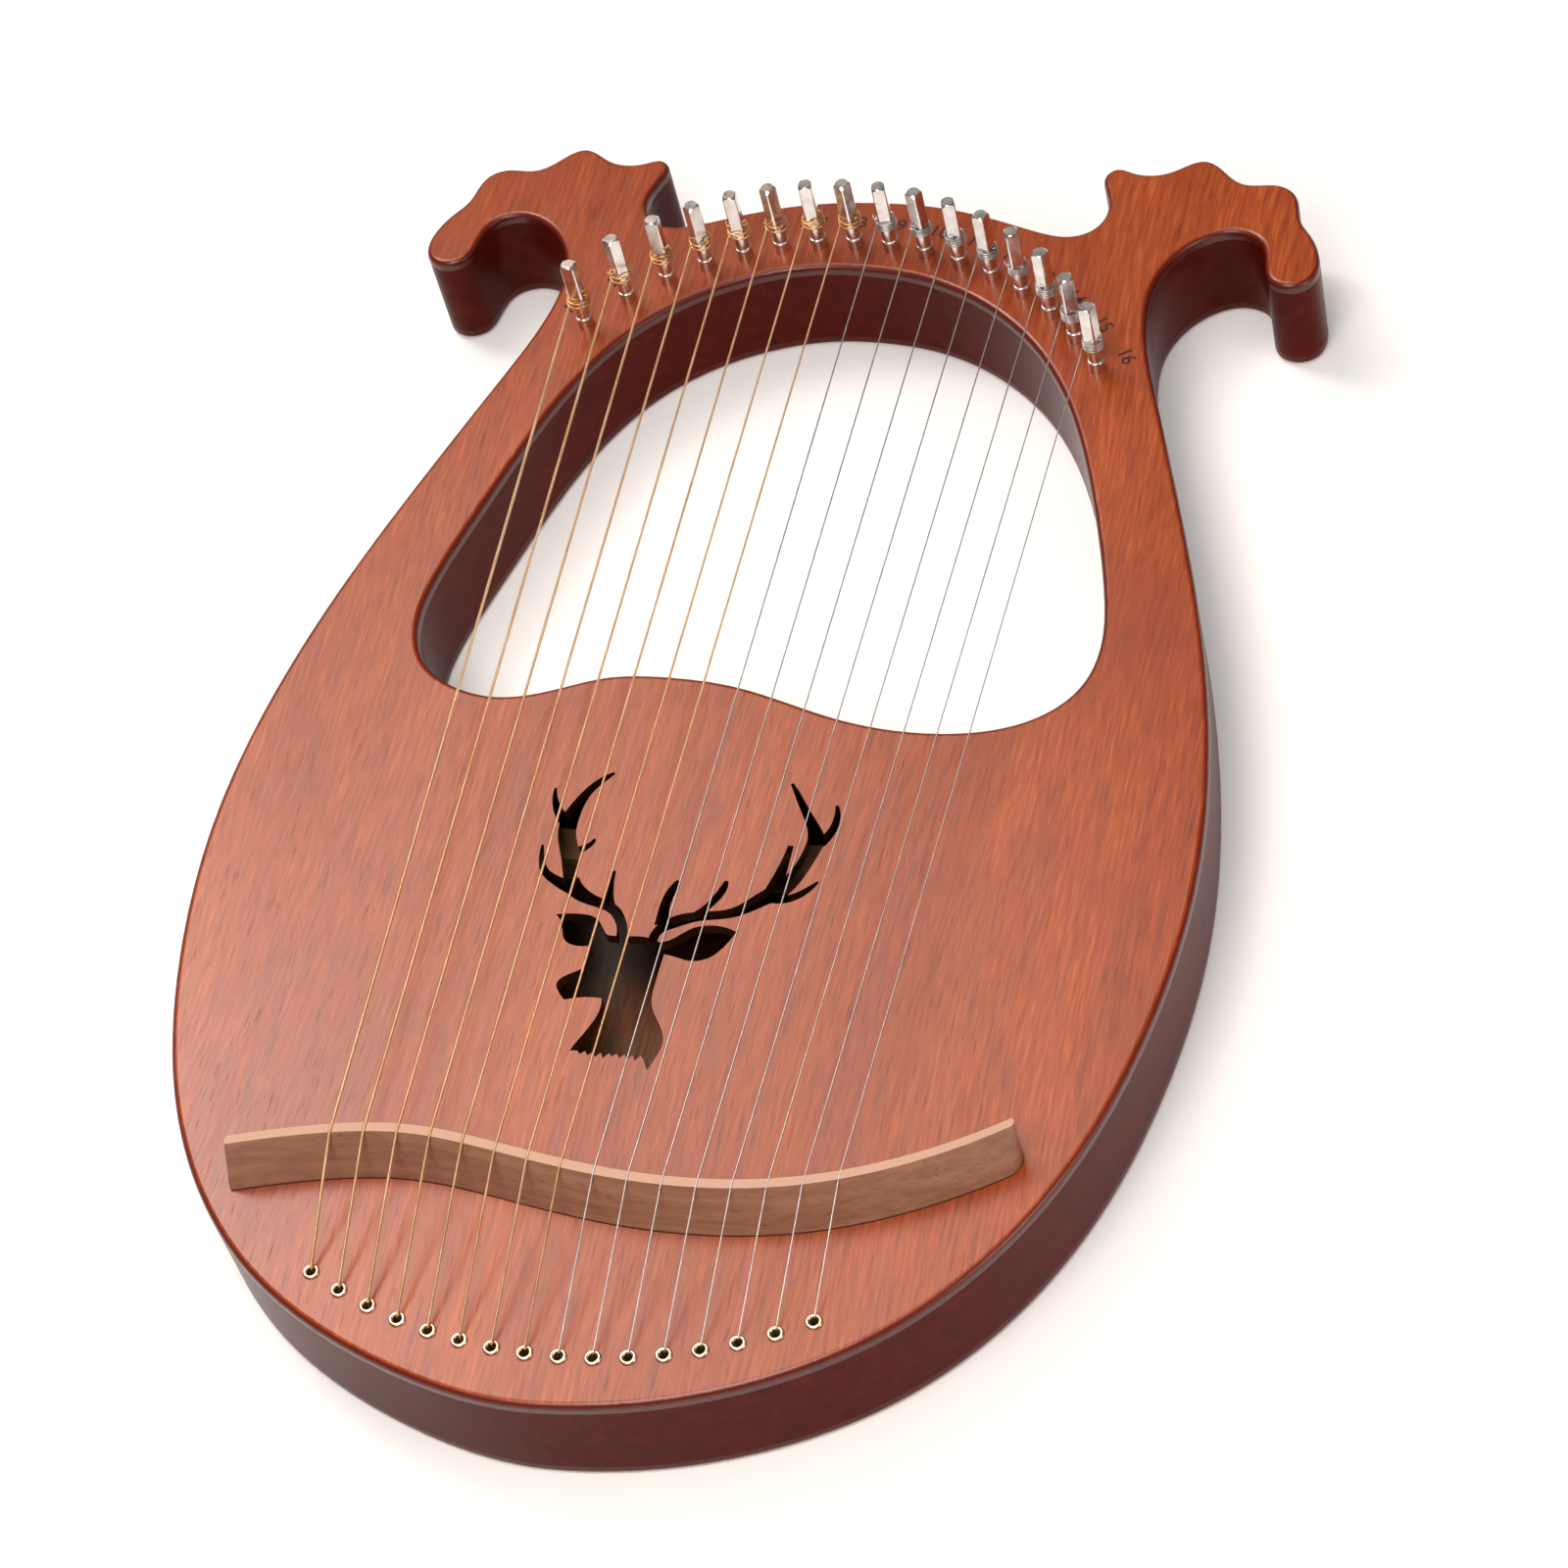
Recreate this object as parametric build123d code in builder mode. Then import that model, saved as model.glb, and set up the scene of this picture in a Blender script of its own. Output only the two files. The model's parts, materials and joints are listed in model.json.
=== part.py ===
"""Sixteen-string lyre, lying on its back.

The back face is on z = 0 and the strings run along Y, with the horns at +Y. The origin is under the
middle of the instrument. A hollow wooden frame carries a soundboard and a back board; sixteen steel
strings run from ball ends in the back, through eyelets and over the bridge, to tuning pins in the yoke.
"""

import os
from math import cos, radians, sin, sqrt

from build123d import *

# ---------------------------------------------------------------- driving dimensions (millimetres)
LENGTH = 515.0
WIDTH = 325.0
THICKNESS = 39.0
BOARD = 4.0
EDGE_ROUND = 2.0

STRING_COUNT = 16
WOUND_COUNT = 8

PIN_ELLIPSE_X = -3.6  # the pins stand on this ellipse
PIN_ELLIPSE_Y = 84.2
PIN_ELLIPSE_A = 118.6
PIN_ELLIPSE_B = 127.4
PIN_FIRST_X = -92.0
PIN_SPAN = 186.4
PIN_CROWDING = 49.0  # how far the pins drift towards the treble side

PIN_THREAD_RADIUS = 3.0
PIN_CLEARANCE = 0.03
PIN_DEPTH = 20.0
PIN_COLLAR = 4.6
PIN_NECK_RADIUS = 2.5
PIN_NECK_TOP = 11.4
PIN_TOP = 29.7
PIN_SQUARE = 4.9
PIN_SQUARE_TIP = 4.6
PIN_STOCK_RADIUS = 3.05  # the square is cut on a round rod, so its corners stay round
PIN_TIP_CONE = 0.9
PIN_FOOT_CHAMFER = 0.8
PIN_COLLAR_ROUND = 0.6
PIN_EYE_RADIUS = 0.65
PIN_EYE_HEIGHT = 14.4
PIN_TWIST = 47.0  # each pin has stopped this many degrees on from the last

WINDING_BORE = 3.1
WINDING_BOTTOM = 11.5
STRING_TAKEOFF = 3.5  # distance of the string from the pin's axis
STRING_TAKEOFF_HEIGHT = 10.5
STRING_WRAP = 100.0
STRING_BRIDGE_BEND = 4.0
WOUND_TURNS = 3
PLAIN_TURNS = 4
TURN_PITCH = 1.9  # in string radii, so that the turns just press into each other

EYELET_SPAN = 155.7
EYELET_ARC_RADIUS = 163.0
EYELET_LOW_Y = -240.6
EYELET_BORE = 1.35
EYELET_TUBE = 2.0
EYELET_FLANGE = 2.6
EYELET_LIP = 0.8
EYELET_TUBE_LENGTH = 3.6

BRIDGE_HEIGHT = 15.0
BRIDGE_BASE = 10.4
BRIDGE_TOP = 3.1
BRIDGE_BASE_BULGE = 2.2  # how far the ends of the strip are rounded out
BRIDGE_TOP_BULGE = 0.8
NOTCH_DEPTH = 0.35
NOTCH_CLEARANCE = 0.03
NOTCH_REACH = 12.0
BRIDGE_FOOT = [  # rear foot of the bridge, from the bass end to the treble end
    (-111.5, -195.8),
    (-85.0, -189.3),
    (-57.0, -186.2),
    (-25.0, -190.0),
    (5.0, -194.6),
    (35.0, -196.0),
    (65.0, -192.6),
    (95.0, -183.0),
    (126.0, -166.0),
]

CHANNEL_RADIUS = 1.2
FERRULE_RADIUS = 3.3
FERRULE_FLANGE_RADIUS = 4.4
FERRULE_FLANGE = 0.9
FERRULE_LENGTH = 6.8
FERRULE_BORE = 2.4
FERRULE_FLOOR = 1.2
BALL_RADIUS = 1.9
BALL_LENGTH = 2.6
BALL_BORE = 0.75

BRACE_WIDTH = 12.0
BRACE_HEIGHT = 11.0
BRACE_SCOOP_DEPTH = 6.6
BRACE_SCOOP_LENGTH = 22.0
SOUNDBOARD_BRACE_LENGTH = 236.0
SOUNDBOARD_BRACE_Y = -157.0
BACK_BRACE_LENGTH = 252.0
BACK_BRACE_Y = -40.0
TAIL_BLOCK_WIDTH = 196.0
TAIL_BLOCK_FRONT = -204.0

FACE = THICKNESS  # the playing face
RIM_TOP = THICKNESS - BOARD

os.makedirs("parts", exist_ok=True)


def write(name, label):
    """Names a finished piece and writes it to its own file."""
    name.part.label = label
    export_step(name.part, f"parts/{label}.step")


# ---------------------------------------------------------------- where things stand
def pin_place(index):
    """Foot of a tuning pin on the playing face; index 0 is the lowest-sounding string."""
    t = index / (STRING_COUNT - 1)
    x = PIN_FIRST_X + PIN_SPAN * t + PIN_CROWDING * t**3 * (1 - t)
    reach = (x - PIN_ELLIPSE_X) / PIN_ELLIPSE_A
    return x, PIN_ELLIPSE_Y + PIN_ELLIPSE_B * sqrt(1 - reach**2)


def eyelet_place(index):
    """Centre of an eyelet on the playing face."""
    x = EYELET_SPAN * (index / (STRING_COUNT - 1) - 0.5)
    return x, EYELET_LOW_Y + EYELET_ARC_RADIUS - sqrt(EYELET_ARC_RADIUS**2 - x**2)


def string_radius(index):
    """Wound bass strings thin out from 1.0 mm; plain treble strings from 0.55 mm."""
    if index < WOUND_COUNT:
        return 0.50 - 0.02 * index
    return 0.275 - 0.01 * (index - WOUND_COUNT)


def bridge_crossing(index):
    """Point over the bridge's rear top edge that a string bends on, level with the string's middle."""
    x_pin, y_pin = pin_place(index)
    x_eye, y_eye = eyelet_place(index)
    start = Vector(x_pin - STRING_TAKEOFF, y_pin)
    end = Vector(x_eye, y_eye)
    with BuildLine(mode=Mode.PRIVATE) as crest:
        Spline(*[(x, y + BRIDGE_BASE - BRIDGE_TOP) for x, y in BRIDGE_FOOT])
    with BuildLine(mode=Mode.PRIVATE) as plan:
        Line(start, end)
    point = plan.line.intersect(crest.line)[0].center()
    return point.X, point.Y, FACE + BRIDGE_HEIGHT - NOTCH_DEPTH + string_radius(index)


# ---------------------------------------------------------------- outlines
def closed_curve(points):
    """Smooth closed curve through the points."""
    with BuildLine() as outline:
        Spline(*points, periodic=True)
    return outline


def outer_outline():
    """Outer edge of the whole lyre, symmetric left and right."""
    foot = -LENGTH / 2
    crown = LENGTH / 2
    half = WIDTH / 2
    right_body = [(50, foot + 9.2), (101, foot + 37.5), (136.8, foot + 84), (156.3, foot + 143)]
    right_arm = [(half, -55), (157.6, 0), (146.5, 50), (131.3, 100), (117.3, 142), (107.3, 178)]
    hook = [(107.4, 198), (111.8, 209), (120, 218.2), (130.8, 222.2), (140, 218.5), (143.6, 208.5)]
    bulb = [(146.6, 199.6), (153, 196.8), (160, 199.8), (half, 207), (160.9, 215.5)]
    scallops = [
        (157.8, 221.8),
        (153.3, 228.8),
        (151.4, 236.5),
        (148.8, 242.6),
        (143, 246.1),
        (131, 246.4),
        (125.4, 250),
        (120.4, 255),
        (115, crown),
        (109.6, 255.5),
        (103, 251.3),
        (97, 249.9),
        (90, 251.2),
        (84.8, 252.6),
    ]
    yoke = [
        (81.2, 249.8),
        (81.7, 243),
        (84.3, 235),
        (83.6, 227),
        (79.6, 221.4),
        (73, 218.9),
        (64, 220.2),
        (48, 225.6),
        (25, 231.6),
    ]
    right = right_body + right_arm + hook + bulb + scallops + yoke
    left = [(-x, y) for x, y in reversed(right)]
    return closed_curve([(0, foot)] + right + [(0, 233.5)] + left)


def opening_outline():
    """Opening between the arms; the wavy edge of the sound box is its lower side."""
    return closed_curve([
        (-3, 200.2),
        (-28, 197.2),
        (-50, 187.8),
        (-70, 172),
        (-86, 148.5),
        (-98, 117),
        (-108, 80),
        (-114.6, 52),
        (-115.6, 30),
        (-107.6, 12),
        (-94, 3.6),
        (-80, 1),
        (-62, 5),
        (-45, 11.4),
        (-25, 13.2),
        (0, 10.8),
        (35, 0.4),
        (70, -3.6),
        (86, -1.4),
        (101, 5),
        (112.4, 17.5),
        (116.4, 36),
        (113.6, 58),
        (107, 84),
        (97.6, 114),
        (85.6, 142.5),
        (70, 166),
        (50, 184),
        (24, 196.4),
    ])


def cavity_outline():
    """Inside wall of the sound box."""
    return closed_curve([
        (0, -248),
        (47.5, -239.4),
        (95, -213.4),
        (128.6, -169),
        (147, -112.5),
        (153, -55),
        (149, -22),
        (134, -11),
        (106, -11),
        (70, -16),
        (35, -12),
        (0, -2),
        (-25, 0.5),
        (-50, -3),
        (-80, -11.5),
        (-106, -9),
        (-134, -9),
        (-149, -22),
        (-153, -55),
        (-147, -112.5),
        (-128.6, -169),
        (-95, -213.4),
        (-47.5, -239.4),
    ])


def plate(bottom, height):
    """One layer of the lyre's full outline with the opening cut through, from bottom upwards."""
    with BuildPart() as layer:
        with BuildSketch(Plane.XY.offset(bottom)):
            with BuildLine():
                add(outer_outline().line)
            make_face()
            with BuildLine():
                add(opening_outline().line)
            make_face(mode=Mode.SUBTRACT)
        extrude(amount=height)
    return layer


# ---------------------------------------------------------------- stag-head sound hole
def branch(points, widths):
    """Curved tapering strip along the points, with a width at each; the last width blunts the tip."""
    left = []
    right = []
    last = len(points) - 1
    for step, (x, y) in enumerate(points):
        x0, y0 = points[max(step - 1, 0)]
        x1, y1 = points[min(step + 1, last)]
        along = Vector(x1 - x0, y1 - y0).normalized()
        across = Vector(-along.Y, along.X) * (widths[step] / 2)
        left.append(Vector(x, y) + across)
        right.append(Vector(x, y) - across)
    with BuildLine(mode=Mode.PRIVATE) as edge:
        Spline(*left)
        Line(left[-1], right[-1])
        Spline(*reversed(right))
        Line(right[0], left[0])
    return make_face(edge.line)


LEFT_ANTLER = [
    ([(-13, -93), (-15, -85.5), (-18.8, -81.3), (-24.3, -79.2), (-30, -76.8), (-34.6, -72)],
     [3.8, 3.4, 3.6, 3.8, 5.0, 5.4]),
    ([(-33, -75.5), (-35.8, -69.5), (-37.7, -62), (-40.8, -54.3), (-41.4, -47.4), (-40.2, -41.5),
      (-37.5, -35), (-34.2, -30.8), (-31.3, -28.2)],
     [5.0, 4.6, 6.0, 6.0, 5.8, 4.3, 3.0, 2.3, 1.0]),
    ([(-20, -80.5), (-20.8, -76.5), (-21.4, -72), (-21.8, -66.7)], [4.2, 2.6, 1.7, 1.3]),
    ([(-31, -76), (-35.5, -74), (-40.5, -71.6), (-44.5, -68.6), (-46.9, -63.5), (-47.9, -58.4)],
     [4.4, 4.4, 3.4, 2.6, 1.8, 0.8]),
    ([(-38.5, -62), (-36.2, -60.2), (-33, -58), (-31.2, -54.8)], [4.2, 3.4, 2.2, 1.1]),
    ([(-41.5, -49), (-45, -46.2), (-48, -41.4), (-49.5, -35.6)], [5.4, 3.6, 2.2, 0.8]),
]
RIGHT_ANTLER = [
    ([(-2.6, -93), (-1.4, -87.8), (2.4, -84.8), (8.8, -82.2), (14.2, -81.2), (20.4, -79.6),
      (25.8, -76), (31.4, -71.4)],
     [3.4, 3.6, 4.6, 3.8, 3.4, 3.8, 5.0, 6.2]),
    ([(30, -73), (35.6, -67.2), (38.5, -60.5), (40.2, -54.3), (40.6, -49.4), (38.4, -44.2),
      (34.6, -38.2), (31.2, -32.8), (28, -28)],
     [6.0, 5.8, 5.2, 5.4, 5.6, 3.8, 2.7, 2.1, 1.0]),
    ([(-1, -86), (-2, -79.7), (-1.6, -74.6), (0.2, -68.8)], [5.4, 3.5, 3.2, 1.5]),
    ([(8.5, -82), (12.4, -77), (14.7, -72.4), (15.6, -67.6)], [3.4, 2.6, 2.8, 1.3]),
    ([(30.5, -72), (32, -65.2), (32.7, -58.4), (33.1, -52.4)], [5.0, 4.2, 2.7, 1.9]),
    ([(31.5, -72.6), (36.8, -72.8), (41.4, -69.8), (44.9, -65.6)], [4.4, 3.0, 2.4, 0.8]),
    ([(40.8, -51.5), (44, -48), (45.6, -41.6), (44.5, -35.6)], [5.2, 3.4, 2.4, 1.1]),
]


def ear(root_low, low, tip, high, root_high):
    """Leaf-shaped ear from the head to its tip."""
    with BuildLine(mode=Mode.PRIVATE) as edge:
        Spline(root_low, *low, tip)
        Spline(tip, *high, root_high)
        Line(root_high, root_low)
    return make_face(edge.line)


def head_and_neck():
    """Head in three-quarter view, with a ragged edge below the neck."""
    fringe = [(-18.8, -135.2)]
    for tooth in range(9):
        x = -16.4 + 2.55 * tooth
        drop = 1.2 + 0.9 * (tooth * 5 % 4) / 3
        fringe.append((x, -135.0))
        fringe.append((x + 1.1, -135.0 - drop))
    with BuildLine(mode=Mode.PRIVATE) as edge:
        Spline((-17.5, -91.4), (-21.6, -95.2), (-22.3, -104.6))
        Spline((-22.3, -104.6), (-25.6, -106.6), (-29.4, -111), (-28.3, -113.6), (-25.4, -116.8))
        Spline((-25.4, -116.8), (-20, -115.4), (-13.6, -115.2))
        Spline((-13.6, -115.2), (-13.2, -120), (-15.4, -127.2), fringe[0])
        Polyline(*fringe, (7.3, -140.2), (9.3, -133.8))
        Spline((9.3, -133.8), (8.4, -125.4), (3.2, -117), (2, -107), (2.2, -96.8))
        Spline((2.2, -96.8), (0.4, -93.4), (-4.2, -91.3), (-11, -91.3), (-17.5, -91.4))
    return make_face(edge.line)


def sound_hole():
    """Cutting tool for the stag-head sound hole, right through the soundboard."""
    with BuildPart() as tool:
        with BuildSketch(Plane.XY.offset(RIM_TOP)):
            add(head_and_neck())
            for points, widths in LEFT_ANTLER + RIGHT_ANTLER:
                add(branch(points, widths))
            add(ear((-19, -94), [(-24, -96.3), (-31, -94.6), (-33.8, -88.2)], (-36.6, -85),
                    [(-28.8, -84.1), (-22.6, -85.6), (-18.8, -90.4)], (-16, -92.6)))
            add(ear((-1, -92.8), [(3.6, -91), (8.8, -86.6), (14.4, -85)], (23.3, -86.8),
                    [(20.2, -93.4), (16.2, -97.6), (11.2, -98.9), (4.2, -97.4)], (0, -97.2)))
        extrude(amount=BOARD)
    return tool


# ---------------------------------------------------------------- boards and frame
def make_soundboard():
    board = plate(RIM_TOP, BOARD)
    with BuildPart() as soundboard:
        add(board.part)
        fillet(soundboard.faces().sort_by(Axis.Z)[-1].edges(), EDGE_ROUND)
        add(sound_hole().part, mode=Mode.SUBTRACT)
        with BuildSketch(Plane.XY.offset(RIM_TOP)):
            with Locations(*[pin_place(i) for i in range(STRING_COUNT)]):
                Circle(PIN_THREAD_RADIUS + PIN_CLEARANCE)
            with Locations(*[eyelet_place(i) for i in range(STRING_COUNT)]):
                Circle(EYELET_TUBE)
        extrude(amount=BOARD, mode=Mode.SUBTRACT)
    write(soundboard, "soundboard")


def make_body_frame():
    """Arms, yoke, horns and sound box wall in one piece, hollowed for the sound box."""
    layer = plate(BOARD, THICKNESS - 2 * BOARD)
    with BuildPart() as body_frame:
        add(layer.part)
        with BuildSketch(Plane.XY.offset(BOARD)):
            with BuildLine():
                add(cavity_outline().line)
            make_face()
        extrude(amount=THICKNESS - 2 * BOARD, mode=Mode.SUBTRACT)
        with BuildSketch(Plane.XY.offset(RIM_TOP)):
            with Locations(*[pin_place(i) for i in range(STRING_COUNT)]):
                Circle(PIN_THREAD_RADIUS + PIN_CLEARANCE)
        extrude(amount=-(PIN_DEPTH - BOARD + 1), mode=Mode.SUBTRACT)
    write(body_frame, "body_frame")


def make_back_board():
    board = plate(0, BOARD)
    eyelets = [eyelet_place(i) for i in range(STRING_COUNT)]
    with BuildPart() as back_board:
        add(board.part)
        fillet(back_board.faces().sort_by(Axis.Z)[0].edges(), EDGE_ROUND)
        with BuildSketch():
            with Locations(*eyelets):
                Circle(FERRULE_RADIUS)
        extrude(amount=BOARD, mode=Mode.SUBTRACT)
        with BuildSketch():
            with Locations(*eyelets):
                Circle(FERRULE_FLANGE_RADIUS)
        extrude(amount=FERRULE_FLANGE, mode=Mode.SUBTRACT)
    write(back_board, "back_board")


def make_tail_block():
    """Hardwood block glued inside the foot of the sound box; it carries the pull of the strings."""
    eyelets = [eyelet_place(i) for i in range(STRING_COUNT)]
    with BuildPart() as tail_block:
        with BuildSketch(Plane.XY.offset(BOARD)):
            with BuildLine():
                add(cavity_outline().line)
            make_face()
            with Locations((0, TAIL_BLOCK_FRONT)):
                Rectangle(TAIL_BLOCK_WIDTH, LENGTH, align=(Align.CENTER, Align.MAX), mode=Mode.INTERSECT)
        extrude(amount=THICKNESS - 2 * BOARD)
        with BuildSketch(Plane.XY.offset(BOARD)):
            with Locations(*eyelets):
                Circle(CHANNEL_RADIUS)
        extrude(amount=THICKNESS - 2 * BOARD, mode=Mode.SUBTRACT)
        with BuildSketch(Plane.XY.offset(BOARD)):
            with Locations(*eyelets):
                Circle(FERRULE_RADIUS)
        extrude(amount=FERRULE_LENGTH - BOARD, mode=Mode.SUBTRACT)
    write(tail_block, "tail_block")


def make_brace(label, length, y, bottom):
    """Straight wooden bar across a board, with its ends scooped down."""
    with BuildPart() as brace:
        with BuildSketch(Plane.XZ.offset(-y)):
            with Locations((0, bottom + BRACE_HEIGHT / 2)):
                Rectangle(length, BRACE_HEIGHT)
        extrude(amount=BRACE_WIDTH / 2, both=True)
        free_side = brace.faces().sort_by(Axis.Z)[-1 if bottom <= BOARD else 0]
        ends = free_side.edges().filter_by(Axis.Y)
        chamfer(ends, BRACE_SCOOP_DEPTH, BRACE_SCOOP_LENGTH)
    write(brace, label)


# ---------------------------------------------------------------- bridge
def make_bridge():
    """Wavy wooden strip with a sloping rear face, notched on its top edge for each string."""
    slope = BRIDGE_BASE - BRIDGE_TOP
    ends = (BRIDGE_FOOT[0], BRIDGE_FOOT[-1])
    with BuildPart() as bridge:
        for height, rear, bulge in ((0, 0, BRIDGE_BASE_BULGE), (BRIDGE_HEIGHT, slope, BRIDGE_TOP_BULGE)):
            with BuildSketch(Plane.XY.offset(FACE + height)):
                with BuildLine():
                    Spline(*[(x, y + rear) for x, y in BRIDGE_FOOT])
                    Spline(*[(x, y + BRIDGE_BASE) for x, y in BRIDGE_FOOT])
                    for x, y in ends:
                        outward = bulge if x > 0 else -bulge
                        middle = (x + outward, y + (rear + BRIDGE_BASE) / 2)
                        ThreePointArc((x, y + rear), middle, (x, y + BRIDGE_BASE))
                make_face()
        loft(ruled=True)
        for index in range(STRING_COUNT):
            x, y, z = bridge_crossing(index)
            x_pin, y_pin = pin_place(index)
            start = Vector(x_pin - STRING_TAKEOFF, y_pin, FACE + STRING_TAKEOFF_HEIGHT)
            run = Vector(x, y, z) - start
            with BuildSketch(Plane(origin=Vector(x, y, z), z_dir=run)):
                Circle(string_radius(index) + NOTCH_CLEARANCE)
            extrude(amount=NOTCH_REACH, both=True, mode=Mode.SUBTRACT)
    write(bridge, "bridge")


# ---------------------------------------------------------------- eyelets, ferrules, ball ends
def make_eyelets():
    """Brass eyelets lining the string holes of the soundboard."""
    with BuildPart() as string_eyelets:
        for index in range(STRING_COUNT):
            x, y = eyelet_place(index)
            with BuildSketch(Plane((x, y, FACE - EYELET_TUBE_LENGTH), x_dir=(1, 0, 0), z_dir=(0, -1, 0))):
                with BuildLine():
                    Polyline(
                        (EYELET_BORE, 0),
                        (EYELET_TUBE, 0),
                        (EYELET_TUBE, EYELET_TUBE_LENGTH),
                        (EYELET_FLANGE, EYELET_TUBE_LENGTH),
                    )
                    ThreePointArc(
                        (EYELET_FLANGE, EYELET_TUBE_LENGTH),
                        (EYELET_TUBE - 0.05, EYELET_TUBE_LENGTH + EYELET_LIP),
                        (EYELET_BORE, EYELET_TUBE_LENGTH),
                    )
                    Line((EYELET_BORE, EYELET_TUBE_LENGTH), (EYELET_BORE, 0))
                make_face()
            revolve(axis=Axis((x, y, 0), (0, 0, 1)))
    write(string_eyelets, "string_eyelets")


def make_ferrules():
    """Brass cups let in flush with the back; each holds one ball end."""
    with BuildPart() as back_ferrules:
        for index in range(STRING_COUNT):
            x, y = eyelet_place(index)
            with BuildSketch(Plane((x, y, 0), x_dir=(1, 0, 0), z_dir=(0, -1, 0))):
                with BuildLine():
                    Polyline(
                        (FERRULE_BORE, 0),
                        (FERRULE_FLANGE_RADIUS, 0),
                        (FERRULE_FLANGE_RADIUS, FERRULE_FLANGE),
                        (FERRULE_RADIUS, FERRULE_FLANGE),
                        (FERRULE_RADIUS, FERRULE_LENGTH),
                        (CHANNEL_RADIUS, FERRULE_LENGTH),
                        (CHANNEL_RADIUS, FERRULE_LENGTH - FERRULE_FLOOR),
                        (FERRULE_BORE, FERRULE_LENGTH - FERRULE_FLOOR),
                        close=True,
                    )
                make_face()
            revolve(axis=Axis((x, y, 0), (0, 0, 1)))
    write(back_ferrules, "back_ferrules")


def make_ball_ends():
    """Small brass barrels that the strings are looped through."""
    middle = FERRULE_LENGTH - FERRULE_FLOOR - BALL_RADIUS
    with BuildPart() as string_ball_ends:
        for index in range(STRING_COUNT):
            x, y = eyelet_place(index)
            with BuildSketch(Plane((x, y, middle), x_dir=(0, 1, 0), z_dir=(1, 0, 0))):
                Circle(BALL_RADIUS)
                Circle(BALL_BORE, mode=Mode.SUBTRACT)
            extrude(amount=BALL_LENGTH / 2, both=True)
    write(string_ball_ends, "string_ball_ends")


# ---------------------------------------------------------------- strings and tuning pins
def make_string(index):
    """One string: from its ball end up through the body, over the bridge and on to its pin."""
    radius = string_radius(index)
    x_pin, y_pin = pin_place(index)
    x_eye, y_eye = eyelet_place(index)
    over = Vector(*bridge_crossing(index))
    takeoff = Vector(x_pin - STRING_TAKEOFF, y_pin, FACE + STRING_TAKEOFF_HEIGHT)
    lip = Vector(x_eye, y_eye + EYELET_BORE - radius - 0.05, FACE + EYELET_LIP + radius)
    end = Vector(x_eye, y_eye, FERRULE_LENGTH - FERRULE_FLOOR)
    run_direction = (takeoff - over).normalized()
    outward = Vector(-run_direction.Y, run_direction.X).normalized()
    wrap_plane = Plane(
        takeoff - outward * STRING_TAKEOFF, x_dir=outward, z_dir=outward.cross(run_direction)
    )
    with BuildPart() as string:
        with BuildLine() as path:
            FilletPolyline(end, lip, over, takeoff, radius=[1.6 * radius + 0.4, STRING_BRIDGE_BEND])
            with BuildLine(wrap_plane):
                CenterArc((0, 0), STRING_TAKEOFF, 0, STRING_WRAP)
        with BuildSketch(Plane(end, z_dir=lip - end)):
            Circle(radius)
        sweep(path=path.line)
    write(string, f"string_{index + 1:02d}")


def make_winding(index):
    """End of the string, wound round its tuning pin as a stack of close turns."""
    x_pin, y_pin = pin_place(index)
    radius = string_radius(index)
    turns = WOUND_TURNS if index < WOUND_COUNT else PLAIN_TURNS
    with BuildPart() as winding:
        for turn in range(turns):
            middle = (WINDING_BORE + radius, WINDING_BOTTOM + radius * (1 + TURN_PITCH * turn))
            with BuildSketch(Plane((x_pin, y_pin, FACE), x_dir=(1, 0, 0), z_dir=(0, -1, 0))):
                with Locations(middle):
                    Circle(radius)
            revolve(axis=Axis((x_pin, y_pin, 0), (0, 0, 1)))
    write(winding, f"winding_{index + 1:02d}")


def make_tuning_pin(index):
    """Steel pin: threaded foot in the wood, round neck, and a square head that a tuning key fits."""
    x_pin, y_pin = pin_place(index)
    twist = radians(index * PIN_TWIST)
    face = Plane((x_pin, y_pin, FACE), x_dir=(cos(twist), sin(twist), 0), z_dir=(0, 0, 1))
    with BuildPart() as tuning_pin:
        with BuildSketch(face.offset(-PIN_DEPTH)):
            Circle(PIN_THREAD_RADIUS)
        extrude(amount=PIN_DEPTH + PIN_COLLAR)
        chamfer(tuning_pin.faces().sort_by(Axis.Z)[0].edges(), PIN_FOOT_CHAMFER)
        fillet(tuning_pin.faces().sort_by(Axis.Z)[-1].edges(), PIN_COLLAR_ROUND)
        with BuildSketch(face.offset(PIN_COLLAR)):
            Circle(PIN_NECK_RADIUS)
        extrude(amount=PIN_NECK_TOP - PIN_COLLAR)
        for height, side in ((PIN_NECK_TOP, PIN_SQUARE), (PIN_TOP, PIN_SQUARE_TIP)):
            with BuildSketch(face.offset(height)):
                Rectangle(side, side)
        loft()
        with BuildSketch(Plane((x_pin, y_pin, FACE), x_dir=(1, 0, 0), z_dir=(0, -1, 0))):
            with BuildLine():
                Polyline(
                    (0, -PIN_DEPTH),
                    (PIN_COLLAR, -PIN_DEPTH),
                    (PIN_COLLAR, PIN_COLLAR),
                    (PIN_STOCK_RADIUS, PIN_COLLAR),
                    (PIN_STOCK_RADIUS, PIN_TOP - PIN_TIP_CONE),
                    (PIN_STOCK_RADIUS - PIN_TIP_CONE, PIN_TOP),
                    (0, PIN_TOP),
                    close=True,
                )
            make_face()
        revolve(axis=Axis((x_pin, y_pin, 0), (0, 0, 1)), mode=Mode.INTERSECT)
        with BuildSketch(Plane(face.origin + Vector(0, 0, PIN_EYE_HEIGHT), z_dir=face.x_dir)):
            Circle(PIN_EYE_RADIUS)
        extrude(amount=PIN_SQUARE, both=True, mode=Mode.SUBTRACT)
    write(tuning_pin, f"tuning_pin_{index + 1:02d}")


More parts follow.
